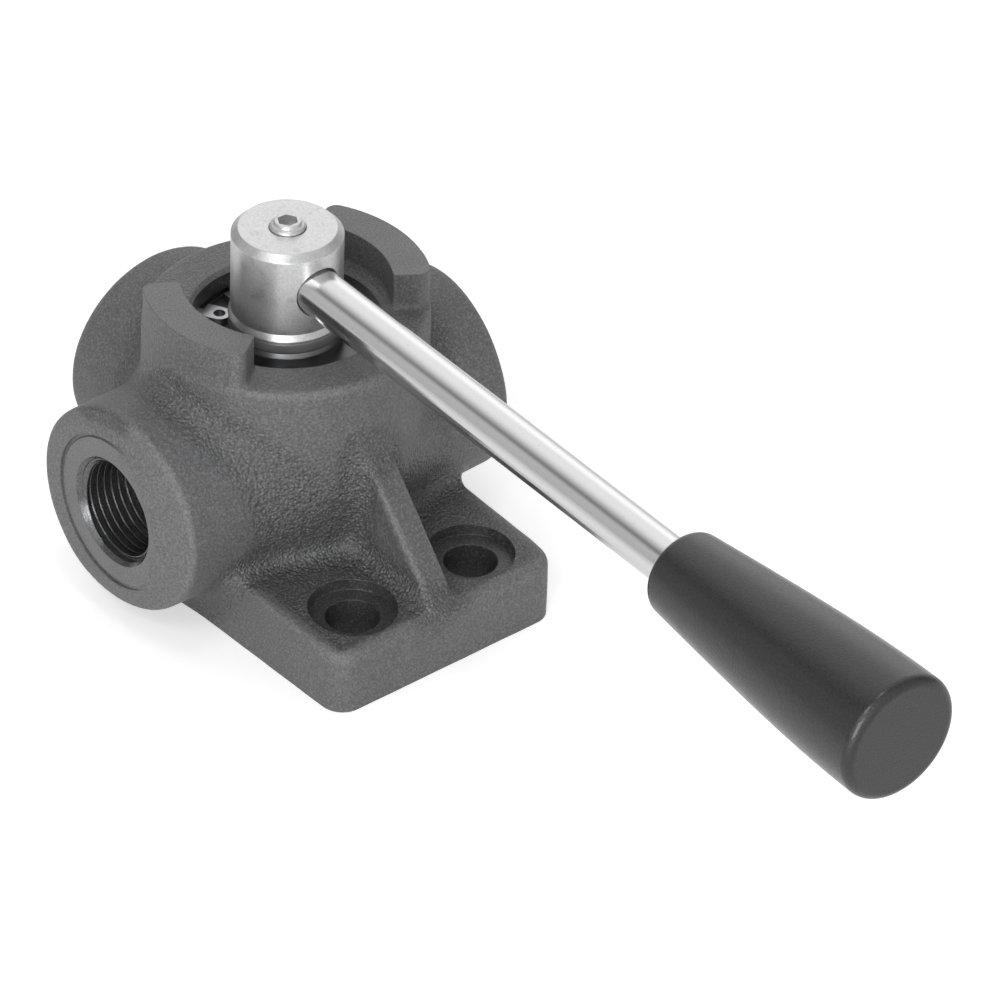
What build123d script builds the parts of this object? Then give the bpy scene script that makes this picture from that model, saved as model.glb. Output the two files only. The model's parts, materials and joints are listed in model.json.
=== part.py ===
from build123d import *

import os
from math import asin, cos, degrees, radians, sin, sqrt

# A hand-lever diverter valve for oil. A cast body holds a turning plug, and three identical
# threaded ports meet it in a T. A lever on top turns the plug and so joins the rear port to
# one side port or the other. Two lugs on the body stop the lever at the ends of its swing.
# Millimetres. +Z is the stem, -Y is the side of the foot and of the lever.
# The origin lies on the stem's axis, in the mounting face.

os.makedirs("parts", exist_ok=True)

# Body casting
tower_diameter = 70.8
lug_height = 9.7
lug_inner_diameter = 51.6
bore_diameter = 46.6
bore_chamfer = 0.7
cast_edge_radius = 1.6

# Ports, with a 1 1/16-12 UN thread
port_reach = 54.0
port_height = 32.9
boss_diameter = 54.2
boss_rim_radius = 1.6
spot_face_diameter = 41.0
spot_face_depth = 0.35
thread_diameter = 27.0
thread_length = 18.6
mouth_diameter = 29.0
mouth_depth = 1.7
passage_diameter = 17.0

# Foot, its two bolt holes and its rib
foot_width = 70.0
foot_front = 64.7
foot_back = 24.0
foot_thickness = 17.0
foot_corner_radius = 6.0
bolt_hole_diameter = 13.5
bolt_spacing = 37.2
bolt_row_distance = 50.0
bolt_seat_diameter = 22.0
bolt_seat_height = 14.8
rib_width = 8.0
rib_top_height = 48.5
rib_toe_margin = 2.2

# Lever, whose rod dips between the lugs
lever_swing = 45.0
lever_rest_angle = -2.4
stop_clearance_angle = 0.7
rod_diameter = 12.0
rod_dip = 2.6
rod_inner_end = 8.5
rod_hole_clearance = 0.15
rod_hole_chamfer = 0.5
rod_thread_length = 26.0
rod_end_chamfer = 0.8
grip_start = 151.4
grip_length = 78.0
grip_small_diameter = 21.3
grip_large_diameter = 31.7
grip_mouth_diameter = 13.0
grip_waist_diameter = 25.7
grip_waist_share = 0.3
grip_swell_diameter = 30.9
grip_swell_share = 0.76
grip_start_slope = 0.1
grip_end_radius = 2.4
grip_neck_radius = 3.0
insert_diameter = 16.0
insert_length = 22.0
insert_flange_diameter = 18.0
insert_flange_thickness = 2.0

# Stem head with its clamp screw
head_diameter = 27.6
head_wall_below_rod = 4.7
head_wall_above_rod = 5.7
head_chamfer = 1.7
screw_diameter = 8.0
screw_proud = 2.0
screw_socket_width = 4.0
screw_socket_depth = 4.0
screw_sink_diameter = 9.4
screw_chamfer = 0.6

# Stem below its head
shaft_diameter = 18.0
stem_flange_diameter = 30.0
tang_length = 24.0
tang_width = 9.0
tang_depth = 5.0
tang_round = 1.0
tang_clearance = 0.1

# Stack in the bore: from the passage down to the bore's bottom, and up to the tower's floor
bore_bottom_depth = 12.4
plug_cap_thickness = 8.6
stem_flange_space = 5.5
washer_thickness = 1.4
gland_flange_thickness = 6.9
gland_sink = 7.1
gland_neck_diameter = 27.4
gland_neck_length = 2.35
dust_ring_diameter = 28.7
dust_ring_thickness = 2.05
dust_ring_round = 0.4
dust_seal_diameter = 28.7
dust_seal_step = 0.15
dust_seal_layers = 3

# Retaining ring above the gland
circlip_thickness = 1.75
circlip_width = 4.1
circlip_groove_depth = 1.3
circlip_angle = 103.7
circlip_ear_angle = 14.6
circlip_ear_width = 5.4
circlip_ear_distance = 17.8
circlip_hole_diameter = 3.0

# Port seats
seat_diameter = 23.7
seat_outer_end = 31.6
seat_spring_height = 2.0
seat_spring_thickness = 0.8
seat_clip_thickness = 1.0
seat_clip_groove_depth = 0.7
seat_clip_width = 2.6
seat_groove_position = 28.0

# Seal rings and fits
ring_section = 2.0
ring_groove_width = 2.4
ring_nip = 0.05
running_clearance = 0.05
assembly_clearance = 0.02

# Heights, worked out from the ports' axis
bore_bottom = port_height - passage_diameter / 2 - bore_bottom_depth
rotor_top = port_height + passage_diameter / 2 + plug_cap_thickness
gland_bottom = rotor_top + stem_flange_space
gland_flange_top = gland_bottom + gland_flange_thickness
gland_top = gland_flange_top + gland_neck_length
floor_height = gland_flange_top + gland_sink
lug_top = floor_height + lug_height
lever_height = lug_top - rod_dip + rod_diameter / 2
head_bottom = lever_height - rod_diameter / 2 - head_wall_below_rod
head_top = lever_height + rod_diameter / 2 + head_wall_above_rod

# Other values worked out from those above
tower_radius = tower_diameter / 2
bore_radius = bore_diameter / 2
rotor_radius = bore_radius - running_clearance
rotor_bottom = bore_bottom + washer_thickness + running_clearance
stem_flange_bottom = rotor_top + running_clearance
stem_flange_top = gland_bottom - washer_thickness - running_clearance
rod_radius = rod_diameter / 2
rod_half_width_at_lug = sqrt(rod_radius**2 - (rod_radius - rod_dip) ** 2)
rod_half_angle = degrees(asin(rod_half_width_at_lug / (lug_inner_diameter / 2)))
gap_half_angle = lever_swing + rod_half_angle + stop_clearance_angle
thread_start = port_reach - thread_length
pocket_radius = seat_diameter / 2 + assembly_clearance
port_angles = {"a": 180, "b": 0, "p": 90}


def ring_groove_radius(wall_radius, side):
    """Bottom of a seal ring's groove, cut inwards (-1) or outwards (+1) from a wall."""
    return wall_radius + side * ring_section


def port_plane(angle, distance):
    """A plane across a port's axis, facing out of the port."""
    direction = Vector(1, 0, 0).rotate(Axis.Z, angle)
    return Plane(origin=direction * distance + Vector(0, 0, port_height), z_dir=direction)


def port_section(angle):
    """A level plane through a port's axis, with its x out of the port."""
    direction = Vector(1, 0, 0).rotate(Axis.Z, angle)
    return Plane(origin=(0, 0, port_height), x_dir=direction, z_dir=(0, 0, 1))


def port_axis(angle):
    return Axis((0, 0, port_height), Vector(1, 0, 0).rotate(Axis.Z, angle))


def lever_plane(distance):
    """A plane across the lever's rod, facing away from the stem."""
    direction = Vector(0, -1, 0).rotate(Axis.Z, lever_rest_angle)
    return Plane(origin=direction * distance + Vector(0, 0, lever_height), z_dir=direction)


def lever_section():
    """An upright plane through the rod's axis, with its x along the rod."""
    direction = Vector(0, -1, 0).rotate(Axis.Z, lever_rest_angle)
    normal = Vector(1, 0, 0).rotate(Axis.Z, lever_rest_angle)
    return Plane(origin=(0, 0, lever_height), x_dir=direction, z_dir=normal)


def lever_axis():
    return Axis((0, 0, lever_height), Vector(0, -1, 0).rotate(Axis.Z, lever_rest_angle))


def save(piece, name):
    piece.part.label = name
    export_step(piece.part, f"parts/{name}.step")


# Body: foot, tower, port bosses, rib and lugs in one casting
with BuildPart() as valve_body:
    with BuildSketch(Plane.XY):
        with Locations((0, (foot_back - foot_front) / 2)):
            RectangleRounded(foot_width, foot_front + foot_back, foot_corner_radius)
    extrude(amount=foot_thickness)
    fillet(valve_body.edges().group_by(Axis.Z)[-1], cast_edge_radius)

    with BuildSketch(Plane.XY):
        Circle(tower_radius)
    extrude(amount=floor_height)
    fillet(valve_body.edges().group_by(Axis.Z)[-1], cast_edge_radius)

    for angle in port_angles.values():
        with BuildSketch(port_plane(angle, 0)):
            Circle(boss_diameter / 2)
        extrude(amount=port_reach)
        rim = valve_body.faces().sort_by(port_axis(angle))[-1].edges()
        fillet(rim, boss_rim_radius)

    with BuildSketch(Plane.YZ.offset(-rib_width / 2)):
        with BuildLine():
            Polyline(
                (0, 0),
                (-foot_front + rib_toe_margin, 0),
                (-foot_front + rib_toe_margin, foot_thickness),
                (-tower_radius, rib_top_height),
                (0, rib_top_height),
                close=True,
            )
        make_face()
    extrude(amount=rib_width)

    # Two lugs stand on the tower's floor, left of and right of the lever
    lug_reach = 2 * tower_radius
    gap_side = lug_reach * sin(radians(gap_half_angle))
    gap_depth = lug_reach * cos(radians(gap_half_angle))
    with BuildSketch(Plane.XY.offset(floor_height - cast_edge_radius)):
        Circle(tower_radius)
        Circle(lug_inner_diameter / 2, mode=Mode.SUBTRACT)
        for side in (-1, 1):
            with BuildLine():
                Polyline(
                    (0, 0),
                    (-gap_side, side * gap_depth),
                    (-gap_side, side * lug_reach),
                    (gap_side, side * lug_reach),
                    (gap_side, side * gap_depth),
                    close=True,
                )
            make_face(mode=Mode.SUBTRACT)
    extrude(amount=lug_height + cast_edge_radius)

    # Main bore, with its chamfer and the groove of the retaining ring
    with BuildSketch(Plane.XZ):
        with BuildLine():
            Polyline(
                (0, bore_bottom),
                (bore_radius, bore_bottom),
                (bore_radius, gland_flange_top),
                (bore_radius + circlip_groove_depth, gland_flange_top),
                (bore_radius + circlip_groove_depth, gland_flange_top + circlip_thickness),
                (bore_radius, gland_flange_top + circlip_thickness),
                (bore_radius, floor_height - bore_chamfer),
                (bore_radius + bore_chamfer, floor_height),
                (bore_radius + bore_chamfer, lug_top),
                (0, lug_top),
                close=True,
            )
        make_face()
    revolve(axis=Axis.Z, mode=Mode.SUBTRACT)

    # Each port: spot face, mouth chamfer, thread, clip groove and seat pocket
    for angle in port_angles.values():
        clip_start = seat_outer_end + seat_spring_height
        with BuildSketch(port_section(angle)):
            with BuildLine():
                Polyline(
                    (0, 0),
                    (0, pocket_radius),
                    (clip_start, pocket_radius),
                    (clip_start, pocket_radius + seat_clip_groove_depth),
                    (clip_start + seat_clip_thickness, pocket_radius + seat_clip_groove_depth),
                    (clip_start + seat_clip_thickness, pocket_radius),
                    (thread_start, pocket_radius),
                    (thread_start, thread_diameter / 2),
                    (port_reach - mouth_depth, thread_diameter / 2),
                    (port_reach - spot_face_depth, mouth_diameter / 2),
                    (port_reach - spot_face_depth, spot_face_diameter / 2),
                    (port_reach, spot_face_diameter / 2),
                    (port_reach, 0),
                    close=True,
                )
            make_face()
        revolve(axis=port_axis(angle), mode=Mode.SUBTRACT)

    # Bolt holes through the foot, with their machined seats
    with Locations((0, -bolt_row_distance, bolt_seat_height)):
        with GridLocations(bolt_spacing, 0, 2, 1):
            Cylinder(
                bolt_hole_diameter / 2,
                bolt_seat_height,
                align=(Align.CENTER, Align.CENTER, Align.MAX),
                mode=Mode.SUBTRACT,
            )
            Cylinder(
                bolt_seat_diameter / 2,
                foot_thickness,
                align=(Align.CENTER, Align.CENTER, Align.MIN),
                mode=Mode.SUBTRACT,
            )
save(valve_body, "valve_body")

# Plug: a round bar with two passages at a right angle, which meet on the stem's axis
with BuildPart() as rotor:
    with BuildSketch(Plane.XY.offset(rotor_bottom)):
        Circle(rotor_radius)
    extrude(amount=rotor_top - rotor_bottom)
    for leg_angle in (45, 135):
        with BuildSketch(port_plane(leg_angle + lever_rest_angle, 0)):
            Circle(passage_diameter / 2)
        extrude(amount=bore_radius, mode=Mode.SUBTRACT)
    with Locations((0, 0, port_height)):
        Sphere(passage_diameter / 2, mode=Mode.SUBTRACT)
    with BuildSketch(Plane.XY.offset(rotor_top)):
        RectangleRounded(
            tang_length + 2 * tang_clearance,
            tang_width + 2 * tang_clearance,
            tang_round + tang_clearance,
            rotation=lever_rest_angle,
        )
    extrude(amount=-(tang_depth + tang_clearance), mode=Mode.SUBTRACT)
save(rotor, "rotor")

# Washer that the plug turns on
with BuildPart() as plug_washer:
    with BuildSketch(Plane.XY.offset(bore_bottom)):
        Circle(bore_radius - assembly_clearance)
        Circle(passage_diameter / 2, mode=Mode.SUBTRACT)
    extrude(amount=washer_thickness)
save(plug_washer, "plug_washer")

# Stem: head, shaft, flange and the tang that turns the plug
with BuildPart() as stem:
    with BuildSketch(Plane.XZ):
        with BuildLine():
            Polyline(
                (0, stem_flange_bottom),
                (stem_flange_diameter / 2, stem_flange_bottom),
                (stem_flange_diameter / 2, stem_flange_top),
                (shaft_diameter / 2, stem_flange_top),
                (shaft_diameter / 2, head_bottom),
                (head_diameter / 2, head_bottom),
                (head_diameter / 2, head_top - head_chamfer),
                (head_diameter / 2 - head_chamfer, head_top),
                (0, head_top),
                close=True,
            )
        make_face()
    revolve(axis=Axis.Z)
    with BuildSketch(Plane.XY.offset(stem_flange_bottom)):
        RectangleRounded(tang_length, tang_width, tang_round, rotation=lever_rest_angle)
    extrude(amount=-tang_depth)

    # Cross hole for the rod, open on the lever's side only
    rod_hole_radius = rod_radius + rod_hole_clearance
    head_radius = head_diameter / 2
    rod_hole_mouth = sqrt(head_radius**2 - rod_hole_radius**2)
    with BuildSketch(lever_section()):
        with BuildLine():
            Polyline(
                (-rod_inner_end - rod_hole_clearance, 0),
                (-rod_inner_end - rod_hole_clearance, rod_hole_radius),
                (rod_hole_mouth, rod_hole_radius),
                (head_radius + 2 * rod_hole_chamfer, rod_hole_radius + 2 * rod_hole_chamfer),
                (head_radius + 2 * rod_hole_chamfer, 0),
                close=True,
            )
        make_face()
    revolve(axis=lever_axis(), mode=Mode.SUBTRACT)

    # Tapped hole of the clamp screw, from the head's top down to the rod
    sink_depth = (screw_sink_diameter - screw_diameter) / 2
    with BuildSketch(Plane.XZ):
        with BuildLine():
            Polyline(
                (0, lever_height),
                (screw_diameter / 2, lever_height),
                (screw_diameter / 2, head_top - sink_depth),
                (screw_sink_diameter / 2, head_top),
                (0, head_top),
                close=True,
            )
        make_face()
    revolve(axis=Axis.Z, mode=Mode.SUBTRACT)
save(stem, "stem")

# Washer between the stem's flange and the gland
with BuildPart() as stem_washer:
    with BuildSketch(Plane.XY.offset(gland_bottom - washer_thickness)):
        Circle(stem_flange_diameter / 2)
        Circle(shaft_diameter / 2 + running_clearance, mode=Mode.SUBTRACT)
    extrude(amount=washer_thickness)
save(stem_washer, "stem_washer")

# Gland: closes the bore, guides the stem and holds three seal rings
shaft_bore_radius = shaft_diameter / 2 + running_clearance
stem_groove_radius = ring_groove_radius(shaft_bore_radius, 1)
gland_groove_radius = ring_groove_radius(bore_radius, -1)
gland_groove_height = (gland_bottom + gland_flange_top) / 2
stem_groove_spacing = (gland_top - gland_bottom) / 3
stem_groove_heights = (gland_bottom + stem_groove_spacing, gland_top - stem_groove_spacing)
with BuildPart() as gland:
    with BuildSketch(Plane.XY.offset(gland_bottom)):
        Circle(bore_radius - assembly_clearance)
    extrude(amount=gland_flange_top - gland_bottom)
    with BuildSketch(Plane.XY.offset(gland_flange_top)):
        Circle(gland_neck_diameter / 2)
    extrude(amount=gland_top - gland_flange_top)
    with BuildSketch(Plane.XY.offset(gland_bottom)):
        Circle(shaft_bore_radius)
    extrude(amount=gland_top - gland_bottom, mode=Mode.SUBTRACT)
    for height in stem_groove_heights:
        with BuildSketch(Plane.XY.offset(height - ring_groove_width / 2)):
            Circle(stem_groove_radius)
        extrude(amount=ring_groove_width, mode=Mode.SUBTRACT)
    with BuildSketch(Plane.XY.offset(gland_groove_height - ring_groove_width / 2)):
        Circle(bore_radius)
        Circle(gland_groove_radius, mode=Mode.SUBTRACT)
    extrude(amount=ring_groove_width, mode=Mode.SUBTRACT)
save(gland, "gland")


def seal_ring(height, inner_radius):
    """A rubber ring that lies level round the stem's axis."""
    with BuildPart() as ring:
        with BuildSketch(Plane.XZ):
            with Locations((inner_radius + ring_section / 2, height)):
                Circle(ring_section / 2 - ring_nip / 2)
        revolve(axis=Axis.Z)
    return ring


save(seal_ring(gland_groove_height, gland_groove_radius), "gland_seal_ring")
for place, height in zip(("lower", "upper"), stem_groove_heights):
    save(seal_ring(height, shaft_bore_radius), f"stem_seal_ring_{place}")

# Retaining ring above the gland, open between two ears with a hole in each
with BuildPart() as gland_circlip:
    clip_outer_radius = bore_radius + circlip_groove_depth - assembly_clearance
    with BuildSketch(Plane.XY.offset(gland_flange_top)):
        Circle(clip_outer_radius)
        Circle(clip_outer_radius - circlip_width, mode=Mode.SUBTRACT)
        with BuildLine():
            Polyline(
                (0, 0),
                Vector(bore_diameter, 0).rotate(Axis.Z, circlip_angle - circlip_ear_angle),
                Vector(bore_diameter, 0).rotate(Axis.Z, circlip_angle + circlip_ear_angle),
                close=True,
            )
        make_face(mode=Mode.SUBTRACT)
        for side in (-1, 1):
            ear_angle = circlip_angle + side * circlip_ear_angle
            with PolarLocations(circlip_ear_distance, 1, start_angle=ear_angle):
                Circle(circlip_ear_width / 2)
                with Locations((circlip_width / 2, 0)):
                    Rectangle(circlip_width, circlip_ear_width)
        for side in (-1, 1):
            ear_angle = circlip_angle + side * circlip_ear_angle
            with PolarLocations(circlip_ear_distance, 1, start_angle=ear_angle):
                Circle(circlip_hole_diameter / 2, mode=Mode.SUBTRACT)
    extrude(amount=circlip_thickness)
save(gland_circlip, "gland_circlip")

# Dust seal: a stepped rubber collar on the gland's neck, round the shaft
dust_seal_top = head_bottom - dust_ring_thickness - running_clearance
dust_layer = (dust_seal_top - gland_top) / dust_seal_layers
with BuildPart() as dust_seal:
    for layer in range(dust_seal_layers):
        with BuildSketch(Plane.XY.offset(gland_top + layer * dust_layer)):
            Circle(dust_seal_diameter / 2 - layer * dust_seal_step)
            Circle(shaft_bore_radius, mode=Mode.SUBTRACT)
        extrude(amount=dust_layer)
save(dust_seal, "dust_seal")

# Bright ring pressed on the shaft under the head
with BuildPart() as dust_ring:
    with BuildSketch(Plane.XY.offset(head_bottom - dust_ring_thickness)):
        Circle(dust_ring_diameter / 2)
        Circle(shaft_diameter / 2, mode=Mode.SUBTRACT)
    extrude(amount=dust_ring_thickness)
    rims = dust_ring.edges().filter_by(GeomType.CIRCLE)
    fillet(rims.group_by(SortBy.RADIUS)[-1], dust_ring_round)
save(dust_ring, "dust_ring")


def make_seat(angle):
    """A sleeve that bears on the plug, with a groove for its seal ring."""
    groove_start = seat_groove_position - ring_groove_width / 2
    with BuildPart() as seat:
        with BuildSketch(port_plane(angle, 0)):
            Circle(seat_diameter / 2)
            Circle(passage_diameter / 2, mode=Mode.SUBTRACT)
        extrude(amount=seat_outer_end)
        with BuildSketch(port_plane(angle, groove_start)):
            Circle(seat_diameter / 2)
            Circle(ring_groove_radius(pocket_radius, -1), mode=Mode.SUBTRACT)
        extrude(amount=ring_groove_width, mode=Mode.SUBTRACT)
        with BuildSketch(Plane.XY):
            Circle(bore_radius)
        extrude(amount=2 * port_height, mode=Mode.SUBTRACT)
    return seat


def make_seat_ring(angle):
    """The rubber ring in a seat's groove."""
    with BuildPart() as ring:
        with BuildSketch(port_section(angle)):
            with Locations((seat_groove_position, pocket_radius - ring_section / 2)):
                Circle(ring_section / 2 - ring_nip / 2)
        revolve(axis=port_axis(angle))
    return ring


def make_seat_spring(angle):
    """A dished spring washer that presses a seat on the plug."""
    spring_end = seat_outer_end + seat_spring_height
    outer = seat_diameter / 2 - ring_nip
    inner = passage_diameter / 2 + seat_spring_thickness
    with BuildPart() as spring:
        with BuildSketch(port_section(angle)):
            with BuildLine():
                Polyline(
                    (seat_outer_end, outer),
                    (seat_outer_end + seat_spring_thickness, outer),
                    (spring_end, inner),
                    (spring_end - seat_spring_thickness, inner),
                    close=True,
                )
            make_face()
        revolve(axis=port_axis(angle))
    return spring


def make_seat_clip(angle):
    """The ring that holds a seat and its spring in their pocket."""
    outer = pocket_radius + seat_clip_groove_depth - assembly_clearance
    with BuildPart() as clip:
        with BuildSketch(port_plane(angle, seat_outer_end + seat_spring_height)):
            Circle(outer)
            Circle(outer - seat_clip_width - seat_clip_groove_depth, mode=Mode.SUBTRACT)
        extrude(amount=seat_clip_thickness)
    return clip


for port_name, port_angle in port_angles.items():
    save(make_seat(port_angle), f"seat_{port_name}")
    save(make_seat_ring(port_angle), f"seat_seal_ring_{port_name}")
    save(make_seat_spring(port_angle), f"seat_spring_{port_name}")
    save(make_seat_clip(port_angle), f"seat_clip_{port_name}")

# Lever rod, from inside the head to inside the grip
rod_outer_end = grip_start + rod_thread_length
with BuildPart() as lever_rod:
    with BuildSketch(lever_plane(-rod_inner_end)):
        Circle(rod_radius)
    extrude(amount=rod_inner_end + rod_outer_end)
    chamfer(lever_rod.edges().filter_by(GeomType.CIRCLE), rod_end_chamfer)
save(lever_rod, "lever_rod")

# Brass insert moulded into the grip, on the rod's end
insert_start = rod_outer_end - insert_length
with BuildPart() as grip_insert:
    with BuildSketch(lever_plane(insert_start)):
        Circle(insert_diameter / 2)
        Circle(rod_radius + assembly_clearance, mode=Mode.SUBTRACT)
    extrude(amount=insert_length)
    with BuildSketch(lever_plane(rod_outer_end)):
        Circle(insert_flange_diameter / 2)
    extrude(amount=insert_flange_thickness)
save(grip_insert, "grip_insert")

# Grip: a turned shape that swells towards its end
grip_end = grip_start + grip_length
with BuildPart() as lever_grip:
    with BuildSketch(lever_section()):
        with BuildLine():
            Line((grip_start, 0), (grip_start, grip_small_diameter / 2))
            Spline(
                (grip_start, grip_small_diameter / 2),
                (grip_start + grip_waist_share * grip_length, grip_waist_diameter / 2),
                (grip_start + grip_swell_share * grip_length, grip_swell_diameter / 2),
                (grip_end, grip_large_diameter / 2),
                tangents=((1, grip_start_slope), (1, 0)),
            )
            Line((grip_end, grip_large_diameter / 2), (grip_end, 0))
            Line((grip_end, 0), (grip_start, 0))
        make_face()
    revolve(axis=lever_axis())
    circles = lever_grip.edges().filter_by(GeomType.CIRCLE).sort_by(lever_axis())
    fillet(circles[0], grip_neck_radius)
    circles = lever_grip.edges().filter_by(GeomType.CIRCLE).sort_by(lever_axis())
    fillet(circles[-1], grip_end_radius)
    with BuildSketch(lever_plane(grip_start)):
        Circle(grip_mouth_diameter / 2)
    extrude(amount=insert_start - grip_start, mode=Mode.SUBTRACT)
    with BuildSketch(lever_plane(insert_start)):
        Circle(insert_diameter / 2)
    extrude(amount=insert_length, mode=Mode.SUBTRACT)
    with BuildSketch(lever_plane(rod_outer_end)):
        Circle(insert_flange_diameter / 2)
    extrude(amount=insert_flange_thickness, mode=Mode.SUBTRACT)
save(lever_grip, "lever_grip")

# Clamp screw on the rod, with a hexagon socket
screw_bottom = lever_height + rod_radius
screw_top = head_top + screw_proud
with BuildPart() as clamp_screw:
    with BuildSketch(Plane.XY.offset(screw_bottom)):
        Circle(screw_diameter / 2 - assembly_clearance)
    extrude(amount=screw_top - screw_bottom)
    chamfer(clamp_screw.edges().filter_by(GeomType.CIRCLE), screw_chamfer)
    with BuildSketch(Plane.XY.offset(screw_top)):
        RegularPolygon(screw_socket_width / 2, 6, major_radius=False)
    extrude(amount=-screw_socket_depth, mode=Mode.SUBTRACT)
save(clamp_screw, "clamp_screw")
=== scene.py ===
# %% [markdown]
# # A hand-lever diverter valve
# The real valve is a sand casting of grey iron. It stands on a thick foot with two bolt holes,
# and three threaded ports leave it in a T. A turned steel head sits in the middle of its tower,
# and a chromed bar with a black grip goes through that head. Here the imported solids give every
# size and place, and this lesson gives the surfaces: first the light, then the casting with its
# soft inner corners, then the cut threads, and last the finish of each metal and plastic.

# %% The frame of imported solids
import json
import math

import bpy
import numpy as np
import openvdb
from mathutils import Matrix, Vector


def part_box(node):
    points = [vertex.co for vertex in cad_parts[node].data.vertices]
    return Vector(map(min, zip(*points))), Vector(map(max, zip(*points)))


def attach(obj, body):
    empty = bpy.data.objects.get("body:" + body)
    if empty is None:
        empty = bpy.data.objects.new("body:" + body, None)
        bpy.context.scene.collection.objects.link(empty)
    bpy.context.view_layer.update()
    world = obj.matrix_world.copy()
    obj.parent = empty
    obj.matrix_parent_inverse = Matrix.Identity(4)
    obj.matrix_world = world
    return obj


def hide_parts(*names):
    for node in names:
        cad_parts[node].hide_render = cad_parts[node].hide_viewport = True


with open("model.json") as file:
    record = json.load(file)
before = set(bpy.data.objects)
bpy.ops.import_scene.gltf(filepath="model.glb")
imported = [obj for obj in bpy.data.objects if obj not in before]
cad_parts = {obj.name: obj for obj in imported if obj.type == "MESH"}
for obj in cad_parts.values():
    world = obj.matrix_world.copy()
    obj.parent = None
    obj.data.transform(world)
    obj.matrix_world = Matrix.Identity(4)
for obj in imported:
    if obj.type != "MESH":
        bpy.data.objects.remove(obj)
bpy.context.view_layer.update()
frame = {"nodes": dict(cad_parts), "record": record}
nodes = frame["nodes"]
record = frame["record"]
mounts = {mount["name"]: mount for mount in record["mounts"]}
MM = 0.001
print("packed solids:", len(nodes))

# %% [markdown]
# ## Camera
# The photograph was taken with a long lens from the left front, at about 36 degrees above the
# floor. A fit of outline points gave its place, its angles and a roll of two degrees. The three
# angles are written out, because they are easier to read than a matrix.

# %% Camera
camera_azimuth = math.radians(-41.334)
camera_elevation = math.radians(35.773)
camera_roll = math.radians(2.134)
camera_place = Vector((-0.81963, -1.01319, 0.95350))
camera_lens_mm = 232.32
sensor_mm = 36.0

level = math.cos(camera_elevation)
back = Vector((
    math.sin(camera_azimuth) * level,
    -math.cos(camera_azimuth) * level,
    math.sin(camera_elevation),
))
level_right = Vector((math.cos(camera_azimuth), math.sin(camera_azimuth), 0))
level_up = back.cross(level_right)
right = level_right * math.cos(camera_roll) + level_up * math.sin(camera_roll)
up = back.cross(right)

camera_data = bpy.data.cameras.new("studio_camera")
camera_data.lens = camera_lens_mm
camera_data.sensor_width = sensor_mm
camera_data.clip_end = 20
camera = bpy.data.objects.new("studio_camera", camera_data)
camera.matrix_world = Matrix.Translation(camera_place) @ Matrix(
    (right, up, back)).transposed().to_4x4()
bpy.context.scene.collection.objects.link(camera)
bpy.context.scene.camera = camera
bpy.context.scene.view_settings.view_transform = "Standard"
print("camera stands at", [round(v, 4) for v in camera.location])

# %% [markdown]
# ## Small helpers
# Colours are written as sRGB hex values, as a paint chart gives them, and one function turns
# them to the linear values that a shader needs. One function adds a node with its settings and
# links. A pattern's scale is given in millimetres, because a grain of sand has a real size.

# %% Helpers for materials
def colour(hex_value):
    """An sRGB hex value as a linear colour with alpha."""
    channels = [int(hex_value[i:i + 2], 16) / 255 for i in (1, 3, 5)]
    linear = [c / 12.92 if c <= 0.04045 else ((c + 0.055) / 1.055) ** 2.4 for c in channels]
    return (*linear, 1.0)


def per(size_mm):
    """The scale of a pattern whose features are size_mm wide, on coordinates in metres."""
    return 1 / (size_mm * MM)


def add(tree, kind, settings=None, inputs=None):
    """Adds a node. An input is a value, or the socket of another node that is linked to it."""
    made = tree.nodes.new(kind)
    for name, value in (settings or {}).items():
        setattr(made, name, value)
    for name, value in (inputs or {}).items():
        if isinstance(value, bpy.types.NodeSocket):
            tree.links.new(value, made.inputs[name])
        else:
            made.inputs[name].default_value = value
    return made


def new_material(name):
    """An empty material with its output, its shader and its object coordinates."""
    material = bpy.data.materials.new(name)
    material.use_nodes = True
    tree = material.node_tree
    tree.nodes.clear()
    shader = add(tree, "ShaderNodeBsdfPrincipled")
    add(tree, "ShaderNodeOutputMaterial", inputs={"Surface": shader.outputs["BSDF"]})
    place = add(tree, "ShaderNodeTexCoord").outputs["Object"]
    return material, tree, shader, place


def noise(tree, place, size_mm, detail=2.0, roughness=0.5, distortion=0.0):
    return add(tree, "ShaderNodeTexNoise", inputs={
        "Vector": place, "Scale": per(size_mm), "Detail": detail,
        "Roughness": roughness, "Distortion": distortion,
    }).outputs["Fac"]


def spread(tree, value, low, high, to_low, to_high):
    """Maps value from low..high to to_low..to_high, and stops at the ends."""
    return add(tree, "ShaderNodeMapRange", inputs={
        "Value": value, "From Min": low, "From Max": high, "To Min": to_low, "To Max": to_high,
    }).outputs["Result"]


def mix_colours(tree, share, first, second):
    made = add(tree, "ShaderNodeMix", {"data_type": "RGBA"})
    for socket, value in ((0, share), (6, first), (7, second)):
        if isinstance(value, bpy.types.NodeSocket):
            tree.links.new(value, made.inputs[socket])
        else:
            made.inputs[socket].default_value = value
    return made.outputs[2]


def bump(tree, height, depth_mm, strength=1.0, normal=None):
    inputs = {"Height": height, "Distance": depth_mm * MM, "Strength": strength}
    if normal is not None:
        inputs["Normal"] = normal
    return add(tree, "ShaderNodeBump", inputs=inputs).outputs["Normal"]


# %% [markdown]
# ## Floor and studio light
# The valve stands on a pale sheet. A photographer's tent lights it: bright overhead, dimmer
# towards the horizon, which is what draws the soft dark streak along the chromed bar. Lamps
# with hard borders would draw hard stripes there, so the tent is a smooth gradient in the
# world, and a few soft boxes add a direction. The sheet and the sky look white to the
# camera through Light Path, so no extra light falls on the object.

# %% Pale sheet
floor_half = 3.0
sheet_colour = colour("#e9e9e9")
sheet_glow = 0.42

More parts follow.
